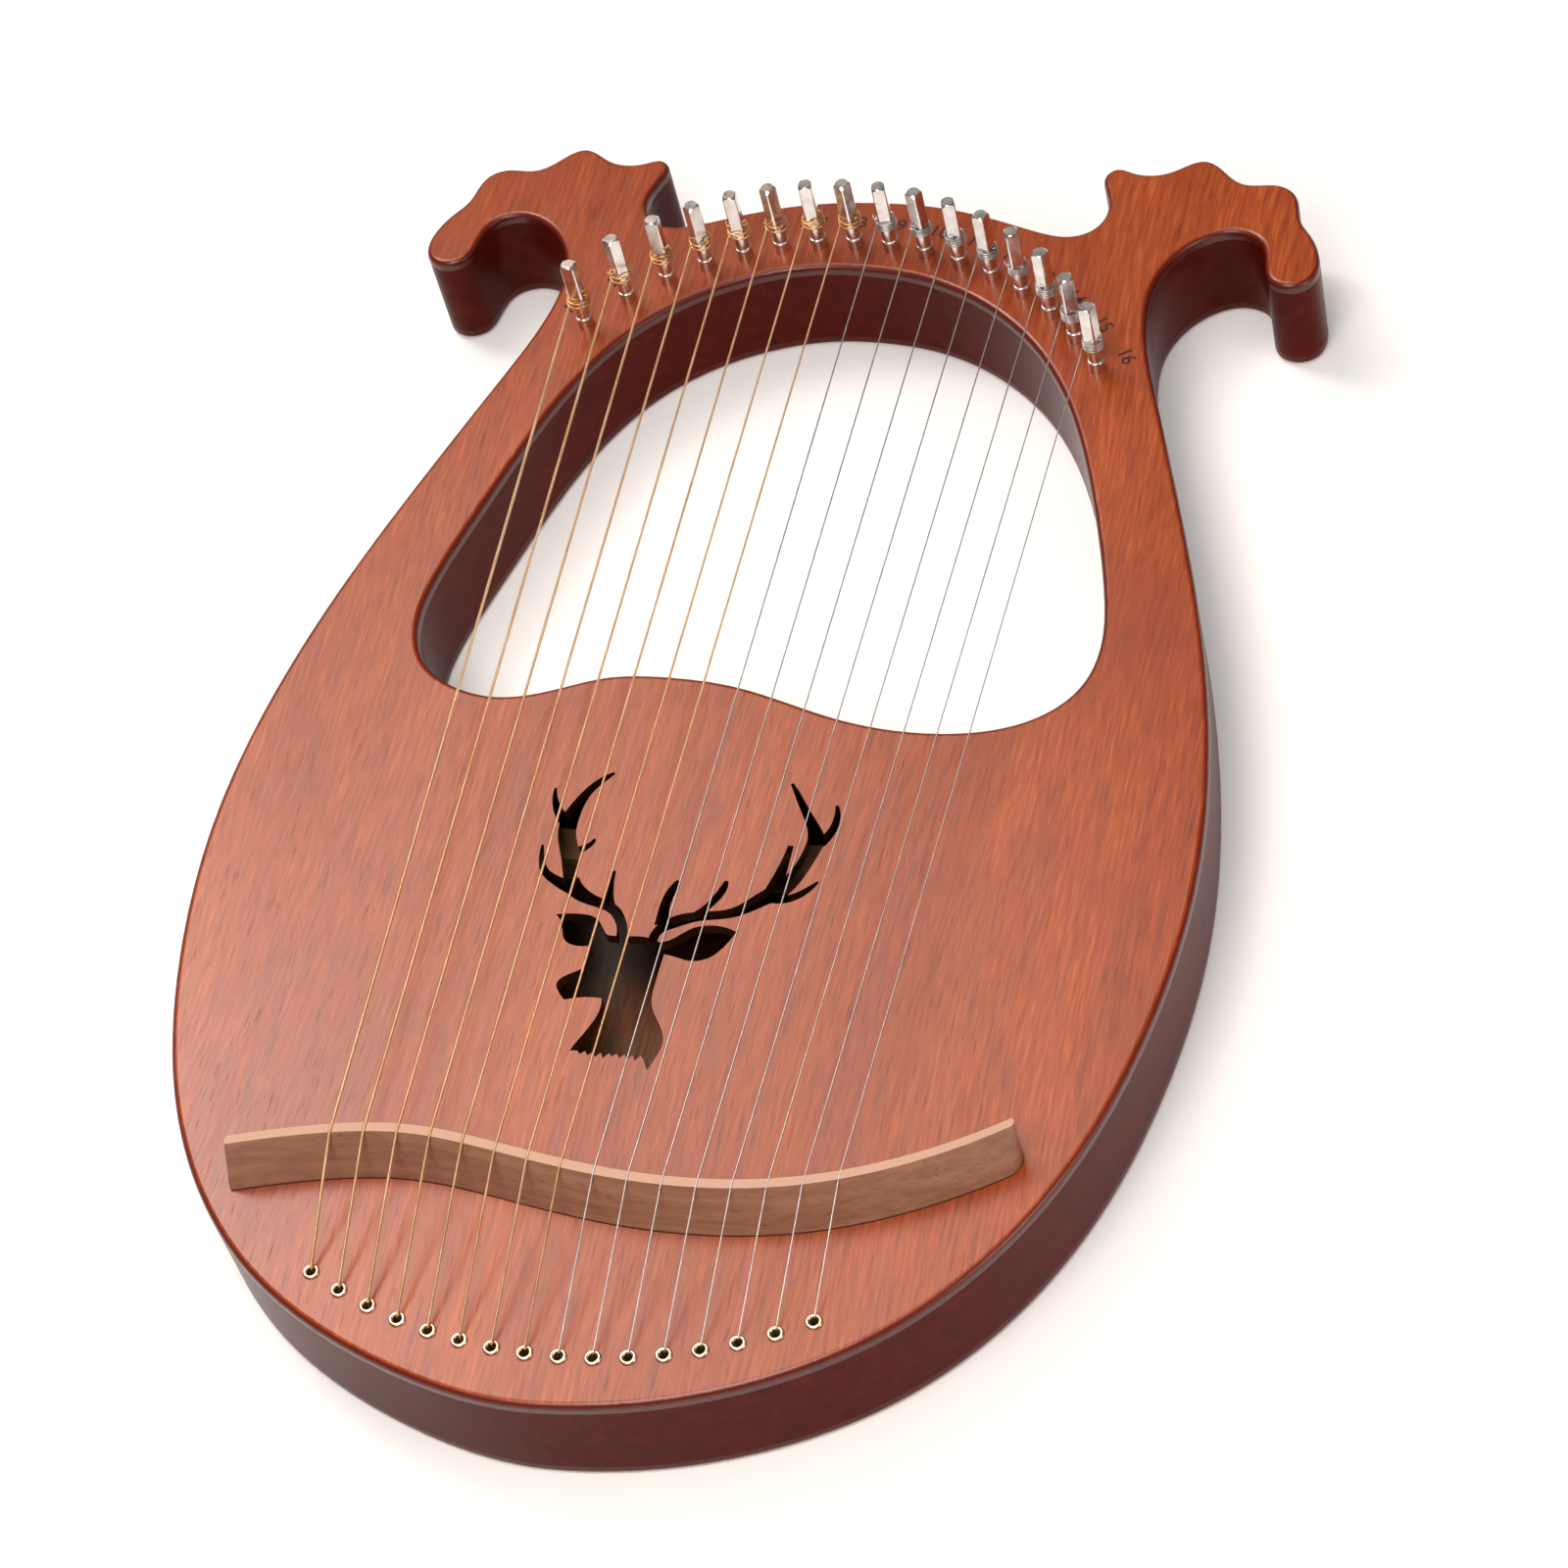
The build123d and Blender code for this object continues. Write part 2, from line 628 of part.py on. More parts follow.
make_soundboard()
make_body_frame()
make_back_board()
make_tail_block()
make_brace("soundboard_brace", SOUNDBOARD_BRACE_LENGTH, SOUNDBOARD_BRACE_Y, RIM_TOP - BRACE_HEIGHT)
make_brace("back_brace", BACK_BRACE_LENGTH, BACK_BRACE_Y, BOARD)
make_bridge()
make_eyelets()
make_ferrules()
make_ball_ends()
for number in range(STRING_COUNT):
    make_string(number)
    make_winding(number)
    make_tuning_pin(number)
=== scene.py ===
"""Sixteen-string lyre: materials, wound string ends, pin numbers, light and camera.

Everything is in metres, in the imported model's frame: the lyre lies on its back, +Y runs along the
strings to the horns and +Z comes out of the playing face.
"""

import json
import math
import bpy
from mathutils import Matrix, Quaternion, Vector


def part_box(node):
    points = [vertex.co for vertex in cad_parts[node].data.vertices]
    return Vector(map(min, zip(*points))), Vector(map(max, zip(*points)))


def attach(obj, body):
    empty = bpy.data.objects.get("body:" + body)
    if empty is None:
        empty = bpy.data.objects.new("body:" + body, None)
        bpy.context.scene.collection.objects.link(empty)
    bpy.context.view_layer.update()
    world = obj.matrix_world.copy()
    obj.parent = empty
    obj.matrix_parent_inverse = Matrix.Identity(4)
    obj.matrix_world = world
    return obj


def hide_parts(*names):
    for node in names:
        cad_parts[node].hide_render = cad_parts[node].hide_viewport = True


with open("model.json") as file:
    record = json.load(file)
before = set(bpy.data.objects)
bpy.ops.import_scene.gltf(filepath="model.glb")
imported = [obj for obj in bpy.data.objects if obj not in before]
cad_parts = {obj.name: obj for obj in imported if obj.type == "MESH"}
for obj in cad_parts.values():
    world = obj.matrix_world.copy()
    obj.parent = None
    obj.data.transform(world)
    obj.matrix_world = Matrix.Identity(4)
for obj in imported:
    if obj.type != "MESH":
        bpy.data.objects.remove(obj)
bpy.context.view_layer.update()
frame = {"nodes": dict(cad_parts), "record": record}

NODES = frame["nodes"]
MM = 0.001
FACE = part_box("soundboard")[1].z
STRINGS = 16
WOUND = 8
PIN_PLACES = {j["child"]: Vector(j["pos_m"]) for j in frame["record"]["behaviour"]["joints"]}


def srgb(r, g, b):
    """Linear colour, with alpha, of an 8-bit sRGB one."""
    linear = [c / 255 / 12.92 if c <= 10 else ((c / 255 + 0.055) / 1.055) ** 2.4 for c in (r, g, b)]
    return (*linear, 1.0)


# ---------------------------------------------------------------- shader helpers
class Shader:
    """One node material; its methods add a node and give back the socket that matters."""

    def __init__(self, name, roughness=0.5, metallic=0.0, **constants):
        self.material = bpy.data.materials.new(name)
        self.material.use_nodes = True
        self.tree = self.material.node_tree
        self.bsdf = self.tree.nodes["Principled BSDF"]
        self.bsdf.inputs["Roughness"].default_value = roughness
        self.bsdf.inputs["Metallic"].default_value = metallic
        for socket, value in constants.items():
            self.bsdf.inputs[socket.replace("_", " ")].default_value = value
        self.coords = self.tree.nodes.new("ShaderNodeTexCoord")
        self.place = self.coords.outputs["Object"]

    def add(self, kind, inputs=None, **settings):
        node = self.tree.nodes.new(kind)
        for key, value in settings.items():
            setattr(node, key, value)
        for key, value in (inputs or {}).items():
            if isinstance(value, bpy.types.NodeSocket):
                self.tree.links.new(value, node.inputs[key])
            else:
                node.inputs[key].default_value = value
        return node

    def stretch(self, vector, scale):
        return self.add("ShaderNodeMapping", {"Vector": vector, "Scale": scale}).outputs[0]

    def noise(self, vector, scale, detail=2.0, roughness=0.5, distortion=0.0):
        inputs = {
            "Vector": self.stretch(vector, scale),
            "Scale": 1.0,
            "Detail": detail,
            "Roughness": roughness,
            "Distortion": distortion,
        }
        return self.add("ShaderNodeTexNoise", inputs).outputs["Fac"]

    def math(self, operation, a, b=0.0, c=0.0):
        node = self.add("ShaderNodeMath", {0: a, 1: b, 2: c}, operation=operation)
        return node.outputs[0]

    def range(self, value, low, high, to_low=0.0, to_high=1.0, smooth=False):
        inputs = {"Value": value, "From Min": low, "From Max": high, "To Min": to_low, "To Max": to_high}
        kind = "SMOOTHSTEP" if smooth else "LINEAR"
        return self.add("ShaderNodeMapRange", inputs, interpolation_type=kind).outputs[0]

    def mix(self, factor, a, b, blend="MIX"):
        node = self.add("ShaderNodeMix", {0: factor, 6: a, 7: b}, data_type="RGBA", blend_type=blend)
        return node.outputs[2]

    def ramp(self, factor, *stops):
        node = self.add("ShaderNodeValToRGB", {"Fac": factor})
        elements = node.color_ramp.elements
        while len(elements) < len(stops):
            elements.new(0.5)
        for element, (position, colour) in zip(elements, stops):
            element.position = position
            element.color = colour
        return node.outputs["Color"]

    def axes(self, vector):
        return self.add("ShaderNodeSeparateXYZ", {"Vector": vector}).outputs

    def shift(self, vector, x, y, z, amount):
        """The vector moved by three noise values about their middle, times amount on each axis."""
        moved = self.add("ShaderNodeCombineXYZ", {0: x, 1: y, 2: z}).outputs[0]
        centred = self.vectors("SUBTRACT", moved, (0.5, 0.5, 0.5))
        return self.vectors("ADD", vector, self.vectors("MULTIPLY", centred, amount))

    def vectors(self, operation, a, b):
        return self.add("ShaderNodeVectorMath", {0: a, 1: b}, operation=operation).outputs[0]

    def colour(self, socket):
        self.tree.links.new(socket, self.bsdf.inputs["Base Color"])

    def rough(self, socket):
        self.tree.links.new(socket, self.bsdf.inputs["Roughness"])

    def bump(self, height, distance, strength=1.0):
        inputs = {"Height": height, "Distance": distance, "Strength": strength}
        normal = self.add("ShaderNodeBump", inputs).outputs[0]
        self.tree.links.new(normal, self.bsdf.inputs["Normal"])


# ---------------------------------------------------------------- woods
HOLE_HALF_WIDTH = 58 * MM  # the sound hole's cut edges lie within this box
HOLE_TOP = -22 * MM
HOLE_FOOT = -146 * MM
BACK_INNER = 3.5 * MM  # surfaces of the back board above this face into the sound box
PAINTED_SHADE_START = -104 * MM  # painted shade inside the sound box starts here
PAINTED_SHADE_FULL = -76 * MM  # and reaches its darkest here


def stained_wood(name, shift, gloss=0.5, burnt_hole=False, raw_inside_painted_shade=False):
    """Satin stained mahogany: fine streaks along Y, soft bands, pores; painted shade on the rounded
    edges, sides darker from their own stain and from painted shade, and painted shade inside the sound
    box.
    """
    s = Shader(name, roughness=0.3, Specular_IOR_Level=gloss)
    base = s.vectors("ADD", s.place, shift)
    sway = s.noise(base, (7.0, 4.0, 7.0), detail=1.5)
    sway_z = s.noise(base, (5.0, 6.0, 9.0), detail=1.0)
    grain = s.shift(base, sway, 0.5, sway_z, (0.022, 0.0, 0.010))
    fibre = s.noise(grain, (950.0, 60.0, 950.0), detail=3.0, roughness=0.62)
    streak = s.noise(grain, (170.0, 5.0, 170.0), detail=2.0, roughness=0.5)
    band = s.noise(grain, (34.0, 2.2, 34.0), detail=1.5)
    cloud = s.noise(base, (17.0, 9.0, 17.0), detail=2.5, roughness=0.5, distortion=0.5)
    pore_raw = s.noise(grain, (1500.0, 95.0, 1500.0), detail=1.0)
    pore = s.range(pore_raw, 0.64, 0.74, smooth=True)

    tone = s.math("MULTIPLY_ADD", fibre, 1.20, -0.44)
    tone = s.math("MULTIPLY_ADD", streak, 0.32, tone)
    tone = s.math("MULTIPLY_ADD", band, 0.36, tone)
    face = s.ramp(
        tone,
        (0.10, srgb(100, 32, 6)),
        (0.38, srgb(140, 54, 13)),
        (0.62, srgb(160, 68, 20)),
        (0.90, srgb(188, 94, 38)),
    )
    plum = s.range(cloud, 0.50, 0.72, 0.0, 0.34, smooth=True)
    face = s.mix(plum, face, srgb(122, 48, 26))
    face = s.mix(s.math("MULTIPLY", pore, 0.22), face, srgb(86, 30, 12))

    normal = s.axes(s.coords.outputs["Normal"])
    up = s.math("ABSOLUTE", normal[2])
    side_tone = s.math("MULTIPLY_ADD", streak, 0.5, s.math("MULTIPLY", fibre, 0.5))
    # Painted shade: picked by how far the surface turns from the face, the rounded edges get a dark
    # red-brown band and the sides a darker copy of the wood; the sides' darkness is partly their own
    # stain.
    side_stain_and_painted_shade = s.ramp(side_tone, (0.30, srgb(62, 12, 7)), (0.55, srgb(82, 18, 10)), (0.75, srgb(98, 26, 14)))
    edge_painted_shade = srgb(98, 22, 4)
    sides_and_painted_edge = s.mix(s.range(up, 0.30, 0.62, smooth=True), side_stain_and_painted_shade, edge_painted_shade)
    wood = s.mix(s.range(up, 0.86, 0.985, smooth=True), sides_and_painted_edge, face)

    place = s.axes(s.place)
    if burnt_hole:
        across = s.math("LESS_THAN", s.math("ABSOLUTE", place[0]), HOLE_HALF_WIDTH)
        below = s.math("LESS_THAN", place[1], HOLE_TOP)
        above = s.math("GREATER_THAN", place[1], HOLE_FOOT)
        wall = s.math("LESS_THAN", up, 0.5)
        burnt = s.math("MULTIPLY", s.math("MULTIPLY", across, below), s.math("MULTIPLY", above, wall))
        wood = s.mix(burnt, wood, srgb(46, 24, 15))
    if raw_inside_painted_shade:
        faces_in = s.math("GREATER_THAN", normal[2], 0.5)
        inside = s.math("MULTIPLY", faces_in, s.math("GREATER_THAN", place[2], BACK_INNER))
        inside_wood_and_painted_shade = s.ramp(fibre, (0.35, srgb(78, 36, 8)), (0.65, srgb(116, 60, 18)))
        # Painted shade: the raw inside of the sound box darkens towards +Y to near black, where the face
        # above shades it.
        shade = s.range(place[1], PAINTED_SHADE_START, PAINTED_SHADE_FULL, 0.0, 0.9, smooth=True)
        inside_wood_and_painted_shade = s.mix(shade, inside_wood_and_painted_shade, srgb(20, 9, 4))
        wood = s.mix(inside, wood, inside_wood_and_painted_shade)
    s.colour(wood)
    sheen = s.math("MULTIPLY_ADD", streak, 0.08, 0.26)
    s.rough(s.math("MULTIPLY_ADD", pore, 0.12, sheen))
    relief = s.math("SUBTRACT", s.math("MULTIPLY", fibre, 0.45), s.math("MULTIPLY", pore, 0.6))
    s.bump(relief, 0.00004, 0.35)
    return s.material


def beech(name):
    """Pale unfinished beech, grain along the bridge, with short dark flecks, painted light on the top
    faces and a painted contact shadow along the foot where it meets the face.
    """
    s = Shader(name, roughness=0.62)
    sway = s.noise(s.place, (9.0, 9.0, 9.0), detail=1.0)
    grain = s.shift(s.place, 0.5, sway, 0.5, (0.0, 0.014, 0.0))
    fibre = s.noise(grain, (40.0, 700.0, 900.0), detail=3.0, roughness=0.6)
    band = s.noise(grain, (8.0, 130.0, 260.0), detail=1.5)
    fleck = s.range(s.noise(grain, (240.0, 1500.0, 1500.0), detail=0.5), 0.66, 0.74, smooth=True)
    tone = s.math("MULTIPLY_ADD", band, 0.6, s.math("MULTIPLY", fibre, 0.4))
    wood = s.ramp(
        tone,
        (0.30, srgb(128, 84, 62)),
        (0.50, srgb(150, 104, 80)),
        (0.70, srgb(170, 124, 98)),
    )
    wood = s.mix(s.math("MULTIPLY", fleck, 0.45), wood, srgb(104, 66, 44))
    # Painted light: faces turned up are mixed towards a pale peach, as if lit from above.
    painted_top_light = s.range(s.axes(s.coords.outputs["Normal"])[2], 0.6, 0.95, smooth=True)
    wood = s.mix(s.math("MULTIPLY", painted_top_light, 0.85), wood, srgb(198, 158, 136))
    # Painted shade: a dark line along the foot, where the bridge meets the face, stands in for its
    # contact shadow.
    height = s.math("SUBTRACT", s.axes(s.place)[2], FACE)
    wood = s.mix(s.range(height, 0.0002, 0.0007, 1.0, 0.0, smooth=True), wood, srgb(52, 20, 12))
    s.colour(wood)
    s.rough(s.range(fibre, 0.3, 0.7, 0.55, 0.68))
    s.bump(fibre, 0.00008, 0.5)
    return s.material


def raw_wood(name):
    """Plain unfinished softwood for the pieces inside the sound box."""
    s = Shader(name, roughness=0.75)
    fibre = s.noise(s.place, (40.0, 500.0, 600.0), detail=3.0, roughness=0.6)
    band = s.noise(s.place, (6.0, 90.0, 140.0), detail=1.5)
    tone = s.math("MULTIPLY_ADD", band, 0.5, s.math("MULTIPLY", fibre, 0.5))
    dark, middle, light = srgb(122, 82, 50), srgb(150, 106, 68), srgb(176, 132, 90)
    s.colour(s.ramp(tone, (0.3, dark), (0.5, middle), (0.7, light)))
    s.bump(fibre, 0.00015, 0.6)
    return s.material


# ---------------------------------------------------------------- metals
def polished(name, dark, light, roughness, scratch=0.02, tarnish=None):
    """Bright plated or polished metal with faint mottling, fine scratches and a little tarnish."""
    s = Shader(name, roughness=roughness, metallic=1.0)
    mottle = s.noise(s.place, (260.0, 260.0, 260.0), detail=3.0)
    metal = s.ramp(mottle, (0.3, dark), (0.7, light))
    if tarnish is not None:
        spots = s.noise(s.place, (700.0, 700.0, 500.0), detail=2.0)
        metal = s.mix(s.range(spots, 0.58, 0.76, 0.0, 0.5, smooth=True), metal, tarnish)
    s.colour(metal)
    wear = s.noise(s.place, (2400.0, 2400.0, 300.0), detail=2.0)
    haze = s.math("MULTIPLY_ADD", mottle, 0.10, roughness - 0.05)
    s.rough(s.math("ADD", haze, s.math("MULTIPLY", wear, 0.06)))
    s.bump(wear, 0.00001, scratch * 10)
    return s.material


WRAP_PITCH = 0.42 * MM


def wound_string(name):
    """Bronze wrap wire on a steel core: close turns across the string, with darker gaps between them."""
    s = Shader(name, roughness=0.34, metallic=1.0)
    place = s.axes(s.place)
    turn = s.math("SINE", s.math("MULTIPLY", place[1], 2 * math.pi / WRAP_PITCH))
    gap = s.range(turn, -1.0, -0.2, 1.0, 0.0, smooth=True)
    tint = s.noise(s.place, (300.0, 60.0, 300.0), detail=2.0)
    bronze = s.ramp(tint, (0.3, srgb(232, 186, 138)), (0.7, srgb(250, 218, 178)))
    s.colour(s.mix(s.math("MULTIPLY", gap, 0.4), bronze, srgb(140, 88, 52)))
    s.rough(s.range(tint, 0.3, 0.7, 0.28, 0.42))
    s.bump(turn, 0.00006, 0.8)
    return s.material


def ink(name):
    """Dark burnt-in numbers, uneven as a hot stamp leaves them."""
    s = Shader(name, roughness=0.7)
    patch = s.noise(s.place, (900.0, 900.0, 900.0), detail=2.0)
    s.colour(s.ramp(patch, (0.35, srgb(34, 14, 8)), (0.7, srgb(66, 30, 18))))
    s.bump(patch, 0.00003, 0.6)
    return s.material


MATERIALS = {
    "mahogany_face": stained_wood("mahogany_face", (0.0, 0.0, 0.0), burnt_hole=True),
    "mahogany_side": stained_wood("mahogany_side", (0.0, 0.0, 0.0), gloss=0.06),
    "mahogany_back": stained_wood("mahogany_back", (0.31, 0.17, 0.0), gloss=0.2, raw_inside_painted_shade=True),
    "inner_wood": raw_wood("inner_wood"),
    "beech": beech("beech"),
    "brass": polished(
        "brass", srgb(214, 198, 158), srgb(242, 232, 204), 0.24, tarnish=srgb(160, 128, 82)
    ),
    "bronze_wound_string": wound_string("bronze_wound_string"),
    "plain_steel_string": polished(
        "plain_steel_string", srgb(182, 180, 179), srgb(208, 207, 206), 0.3
    ),
    "nickel": polished("nickel", srgb(212, 206, 203), srgb(236, 231, 229), 0.17),
}
COIL_BRONZE = polished(
    "coil_bronze", srgb(198, 142, 84), srgb(236, 190, 130), 0.26, tarnish=srgb(120, 70, 34)
)
INK = ink("burnt_ink")

for part in frame["record"]["subparts"]:
    mesh = NODES[part["node"]].data
    mesh.materials.clear()
    mesh.materials.append(MATERIALS[part["material_slot"]])


# ---------------------------------------------------------------- string ends wound on the pins
def tube_mesh(name, points, radii, sides=10):
    """Round tube along the points, closed at both ends, with frames carried along without twist."""
    tangents = []
    for k in range(len(points)):
        ahead = points[min(k + 1, len(points) - 1)]
        behind = points[max(k - 1, 0)]
        tangents.append((ahead - behind).normalized())
    across = tangents[0].orthogonal().normalized()
    vertices = []
    for k, point in enumerate(points):
        across = (across - tangents[k] * across.dot(tangents[k])).normalized()
        other = tangents[k].cross(across)
        size = radii[k] * (0.55 if k in (0, len(points) - 1) else 1.0)
        for n in range(sides):
            turn = 2 * math.pi * n / sides
            vertices.append(point + (across * math.cos(turn) + other * math.sin(turn)) * size)
    faces = [tuple(reversed(range(sides)))]
    for k in range(len(points) - 1):
        for n in range(sides):
            a = k * sides + n
            b = k * sides + (n + 1) % sides
            faces.append((a, b, b + sides, a + sides))
    top = (len(points) - 1) * sides
    faces.append(tuple(range(top, top + sides)))
    mesh = bpy.data.meshes.new(name)
    mesh.from_pydata(vertices, [], faces)
    mesh.shade_smooth()
    return mesh


def rounded(points, steps=5):
    """Catmull-Rom curve through the points."""
    dense = []
    for k in range(len(points) - 1):
        p0 = points[max(k - 1, 0)]
        p1, p2 = points[k], points[k + 1]
        p3 = points[min(k + 2, len(points) - 1)]
        for n in range(steps):
            t = n / steps
            dense.append(
                0.5
                * (
                    2 * p1
                    + (p2 - p0) * t
                    + (2 * p0 - 5 * p1 + 4 * p2 - p3) * t**2
                    + (3 * p1 - p0 - 3 * p2 + p3) * t**3
                )
            )
    dense.append(points[-1])
    return dense


TURN = 2 * math.pi
EYE_HEIGHT = 14.4 * MM
PIN_TWIST = math.radians(47.0)
COIL_TURNS = (2.3, 4.1)  # wanted for wound and plain strings
COIL_DISTANCES = (3.95 * MM, 3.46 * MM)
TOP_DISTANCES = (3.5 * MM, 3.38 * MM)
CORE_RADIUS = 0.33 * MM
INNER_SHARE = 0.94  # the coil's start is this much thinner than the string it hides in
LEAD_IN = math.radians(90.0)  # the coil's start hides this far inside the string's own end
LEAD_STEPS = 9
RISE = math.radians(120.0)  # by here the coil has climbed clear of the string's own end
TAPER = math.radians(40.0)  # by here a wound string has thinned down to its core
BEND_IN = math.radians(26.0)  # the wire leaves the coil for the eye this far before it
COIL_STEP = math.radians(10.0)
CLEAR_GAP = 0.1 * MM
NEAR_PIN = 6 * MM
BEFORE_PIN = 2 * MM
CAP_ANGLE = 0.06


def string_end(number, centre):
    """Where a string ends at its pin: clockwise angle from the bass side, height, distance, radius."""
    near = []
    for vertex in NODES[f"string_{number:02d}"].data.vertices:
        out = vertex.co.xy - centre.xy
        if out.length < NEAR_PIN and vertex.co.y > centre.y - BEFORE_PIN:
            near.append(((math.pi - math.atan2(out.y, out.x)) % TURN, vertex.co.copy()))
    near = [(a if a < 0.75 * TURN else a - TURN, p) for a, p in near]
    last = max(a for a, _ in near)
    cap = [p for a, p in near if a > last - CAP_ANGLE]
    middle = sum(cap, Vector()) / len(cap)
    out = middle.xy - centre.xy
    angle = (math.pi - math.atan2(out.y, out.x)) % TURN
    radius = max((p - middle).length for p in cap)
    return angle, middle.z, out.length, radius


def on_pin(centre, angle, distance, height):
    """Point at a clockwise angle from the bass side of the pin."""
    x = centre.x - math.cos(angle) * distance
    return Vector((x, centre.y + math.sin(angle) * distance, height))


def eased(value):
    """0 to 1 with level ends."""
    value = min(1.0, max(0.0, value))
    return value * value * (3 - 2 * value)


def coil(number):
    """String end wound up the pin, through the eye and out at the other side as a short clipped tail."""
    body = f"pin_{number:02d}"
    centre = PIN_PLACES[body]
    wound = number <= WOUND
    kind = 0 if wound else 1
    start, low, start_distance, radius = string_end(number, centre)
    inner = INNER_SHARE * radius
    wire = min(inner, CORE_RADIUS)
    wide = COIL_DISTANCES[kind]
    narrow = TOP_DISTANCES[kind]
    clear = low + radius + wire + CLEAR_GAP
    eye = centre.z + EYE_HEIGHT
    sweeps = []
    for half in (0.0, math.pi):
        target = (math.pi - (number - 1) * PIN_TWIST - half - start) % TURN
        sweeps += [target + TURN * k for k in range(6)]
    sweep = min(sweeps, key=lambda v: abs(v - TURN * COIL_TURNS[kind]))
    path = []
    for k in range(LEAD_STEPS):
        path.append(on_pin(centre, start - LEAD_IN * (1 - k / LEAD_STEPS), start_distance, low))
    radii = [inner] * LEAD_STEPS
    steps = int(sweep / COIL_STEP)
    for k in range(steps + 1):
        turned = (sweep - BEND_IN) * k / steps
        risen = eased(turned / RISE)
        share = max(0.0, turned - RISE) / (sweep - BEND_IN - RISE)
        height = low + (clear - low) * risen + (eye - clear) * share
        loose = wide + (narrow - wide) * share
        wobble = (wide - narrow) * 0.3 * math.sin(1.7 * turned + number) * risen * (1 - share)
        distance = start_distance + (loose - start_distance) * risen + wobble
        path.append(on_pin(centre, start + turned, distance, height))
        radii.append(inner + (wire - inner) * min(1.0, turned / TAPER))
    last = start + sweep
    through = [
        path[-1],
        on_pin(centre, last - 0.16, narrow - 0.2 * MM, eye),
        on_pin(centre, last, narrow - 1.1 * MM, eye),
        on_pin(centre, last, 0.0, eye),
        on_pin(centre, last, -3.0 * MM, eye),
        on_pin(centre, last + 0.12, -3.9 * MM, eye + 0.15 * MM),
        on_pin(centre, last + 0.42, -4.4 * MM, eye + (0.6 + 0.4 * math.sin(number * 1.7)) * MM),
    ]
    ending = rounded(through)[1:]
    path += ending
    radii += [wire] * len(ending)
    mesh = tube_mesh(f"string_coil_{number:02d}", path, radii)
    obj = bpy.data.objects.new(mesh.name, mesh)
    bpy.context.scene.collection.objects.link(obj)
    slot = "bronze_wound_string" if wound else "plain_steel_string"
    obj.data.materials.append(COIL_BRONZE if wound else MATERIALS[slot])
    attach(obj, body)
    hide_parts(f"winding_{number:02d}")


for number in range(1, STRINGS + 1):
    coil(number)


# ---------------------------------------------------------------- numbers burnt in beside the pins
NUMBER_SIZE = 7.4 * MM
NUMBER_STROKE = 0.07 * MM  # how much the strokes are thickened on each side
NUMBER_DEPTH = 0.02 * MM
NUMBER_LIFT = 0.015 * MM
NUMBER_OUT = 10.6 * MM
ARC_CENTRE = Vector((-3.6, 84.2)) * MM
ARC_SHAPE = Vector((118.6, 127.4)) * MM


def number_mark(number):
    """The pin's number, a hair proud of the face, reading along the arc of pins."""
    centre = PIN_PLACES[f"pin_{number:02d}"]
    from_middle = centre.xy - ARC_CENTRE
    out = Vector((from_middle.x / ARC_SHAPE.x**2, from_middle.y / ARC_SHAPE.y**2, 0)).normalized()
    curve = bpy.data.curves.new(f"number_{number:02d}", "FONT")
    curve.body = str(number)
    curve.size = NUMBER_SIZE
    curve.align_x = "CENTER"
    curve.align_y = "CENTER"
    curve.extrude = NUMBER_DEPTH
    curve.offset = NUMBER_STROKE
    text = bpy.data.objects.new("text", curve)
    mesh = bpy.data.meshes.new_from_object(text)
    bpy.data.objects.remove(text)
    place = Vector((centre.x, centre.y, FACE + NUMBER_LIFT)) + out * NUMBER_OUT
    turn = math.atan2(out.y, out.x) - math.pi / 2
    mesh.transform(Matrix.Translation(place) @ Matrix.Rotation(turn, 4, "Z"))
    mesh.materials.clear()
    mesh.materials.append(INK)
    obj = bpy.data.objects.new(f"pin_number_{number:02d}", mesh)
    bpy.context.scene.collection.objects.link(obj)
    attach(obj, "lyre_body")


for number in range(1, STRINGS + 1):
    number_mark(number)


# ---------------------------------------------------------------- floor, light and camera
FLOOR_HALF = 4.0
FLOOR_HEIGHT = -0.4 * MM


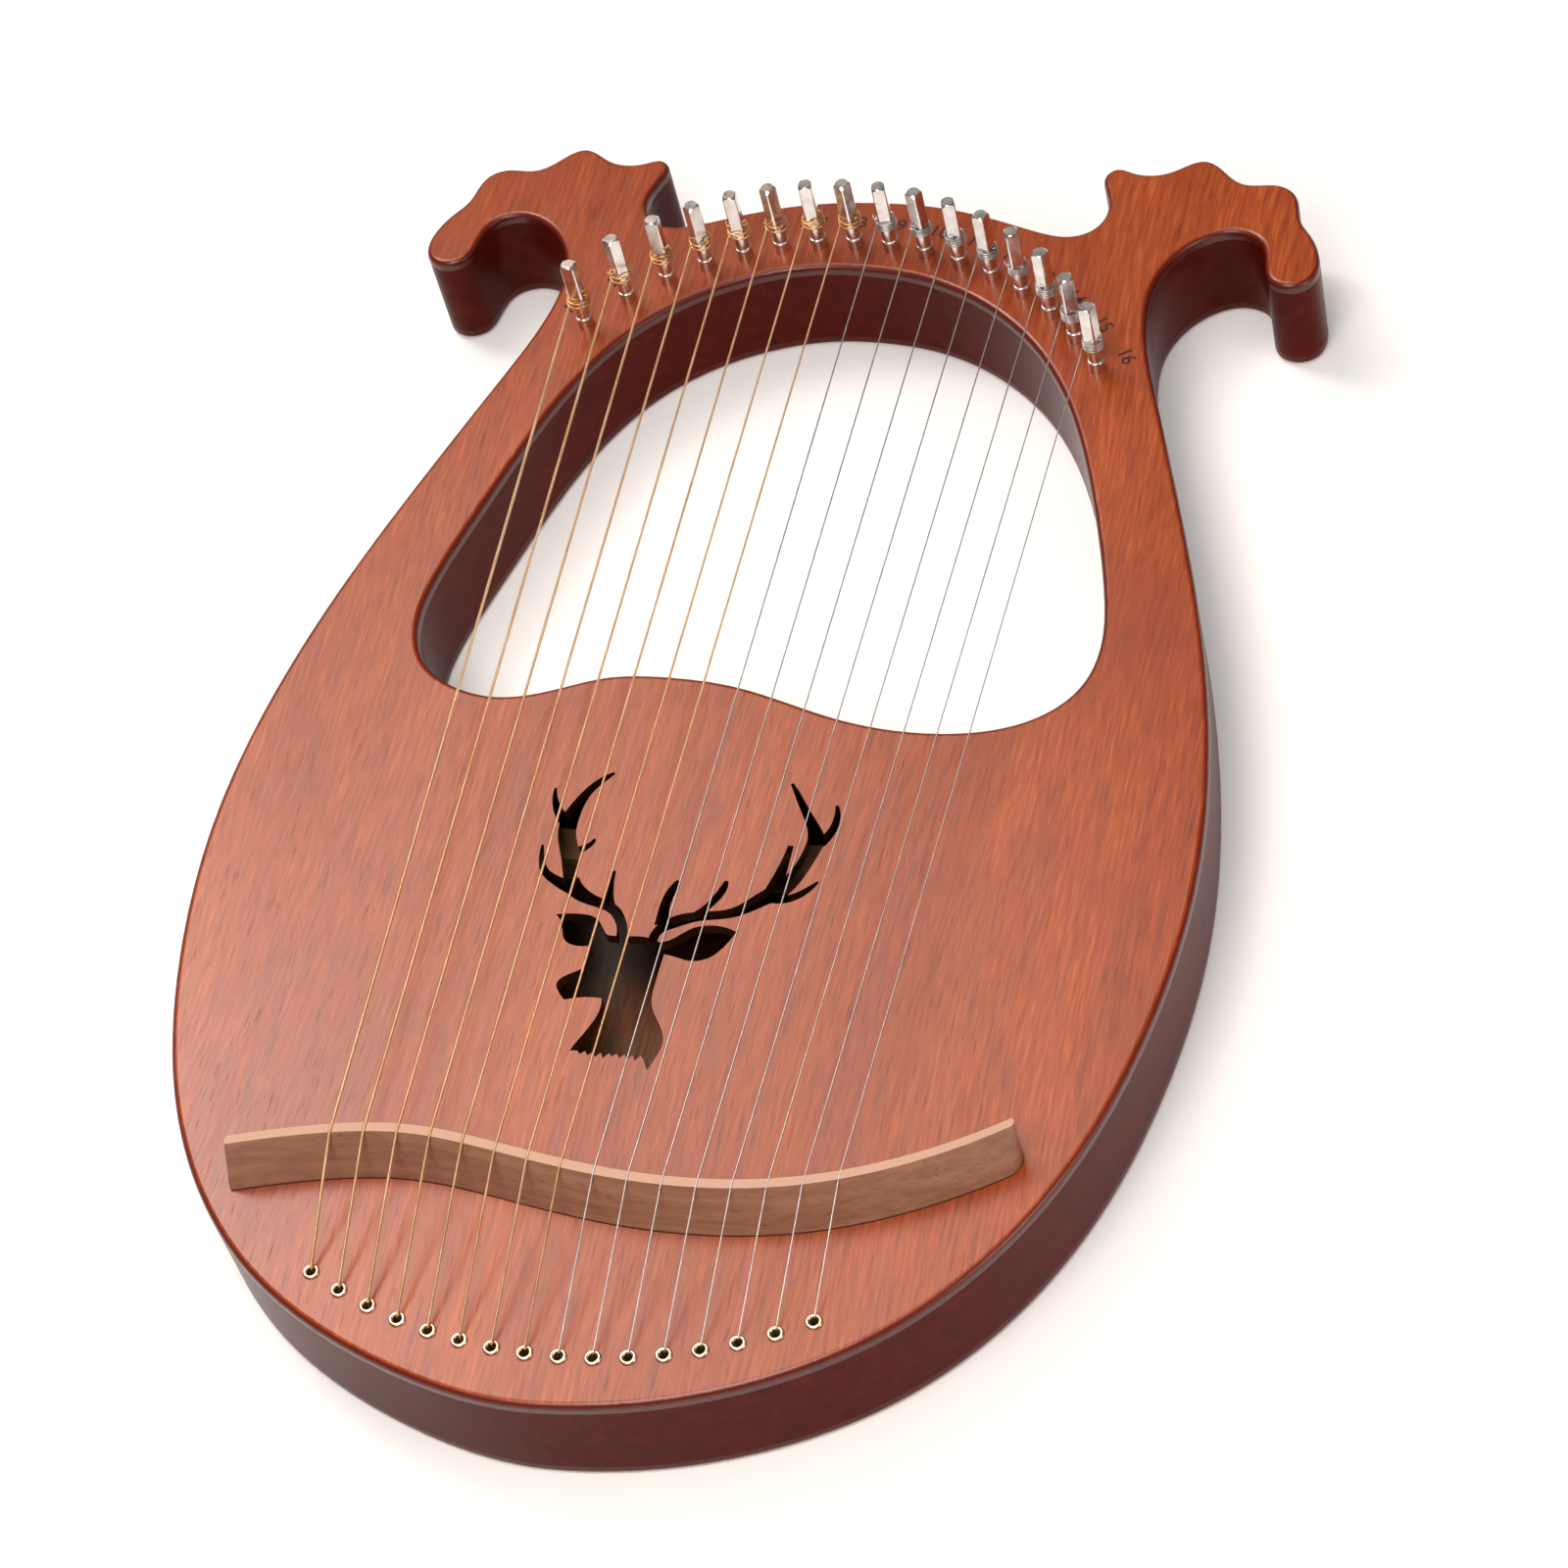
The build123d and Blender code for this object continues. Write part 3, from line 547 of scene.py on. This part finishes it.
def make_floor():
    """Plain pale floor, faintly bright of itself so that shadows stay light."""
    mesh = bpy.data.meshes.new("floor")
    signs = ((-1, -1), (1, -1), (1, 1), (-1, 1))
    corners = [(x * FLOOR_HALF, y * FLOOR_HALF, FLOOR_HEIGHT) for x, y in signs]
    mesh.from_pydata(corners, [], [(0, 1, 2, 3)])
    white = (1.0, 1.0, 1.0, 1.0)
    s = Shader("pale_floor", roughness=0.7, Emission_Color=white, Emission_Strength=0.16)
    shade = s.noise(s.place, (3.0, 3.0, 3.0), detail=2.0)
    s.colour(s.ramp(shade, (0.3, (0.90, 0.90, 0.90, 1)), (0.7, (0.93, 0.93, 0.93, 1))))
    mesh.materials.append(s.material)
    obj = bpy.data.objects.new("floor", mesh)
    bpy.context.scene.collection.objects.link(obj)


def area_light(name, place, aim, size, power, colour=(1.0, 1.0, 1.0)):
    """Round soft light; size is its diameter in metres and power is in watts."""
    data = bpy.data.lights.new(name, "AREA")
    data.shape = "DISK"
    data.size = size
    data.energy = power
    data.color = colour
    obj = bpy.data.objects.new(name, data)
    obj.location = place
    obj.rotation_mode = "QUATERNION"
    obj.rotation_quaternion = (Vector(aim) - Vector(place)).to_track_quat("-Z", "Y")
    bpy.context.scene.collection.objects.link(obj)


make_floor()
area_light("key", (-1.20, 0.70, 1.75), (0, 0, 0), 0.55, 9)
area_light("soft_box", (-0.72, 0.85, 1.70), (0, 0, 0), 1.1, 16, (1.0, 0.84, 0.70))
area_light("overhead", (0.0, -0.1, 1.6), (0, 0, 0), 1.2, 5.5)
area_light("front_fill", (0.00, -0.50, 0.80), (0.0, -0.12, 0), 0.5, 4.8, (1.0, 0.90, 0.80))
area_light("side_fill", (1.1, -0.35, 0.40), (0.1, -0.1, 0), 0.6, 3.5, (1.0, 0.88, 0.78))

world = bpy.data.worlds.new("studio")
world.use_nodes = True
world.node_tree.nodes["Background"].inputs["Color"].default_value = (1.0, 1.0, 1.0, 1.0)
world.node_tree.nodes["Background"].inputs["Strength"].default_value = 0.18
bpy.context.scene.world = world
bpy.context.scene.view_settings.view_transform = "Standard"
bpy.context.scene.view_settings.look = "None"

camera = bpy.data.objects.new("camera", bpy.data.cameras.new("camera"))
camera.data.sensor_width = 36.0
camera.data.lens = 95.27
camera.location = (0.391155, -0.790073, 1.049564)
camera.rotation_mode = "QUATERNION"
camera.rotation_quaternion = Quaternion((0.937101, 0.318204, 0.1231405, 0.0736495))
bpy.context.scene.collection.objects.link(camera)
bpy.context.scene.camera = camera
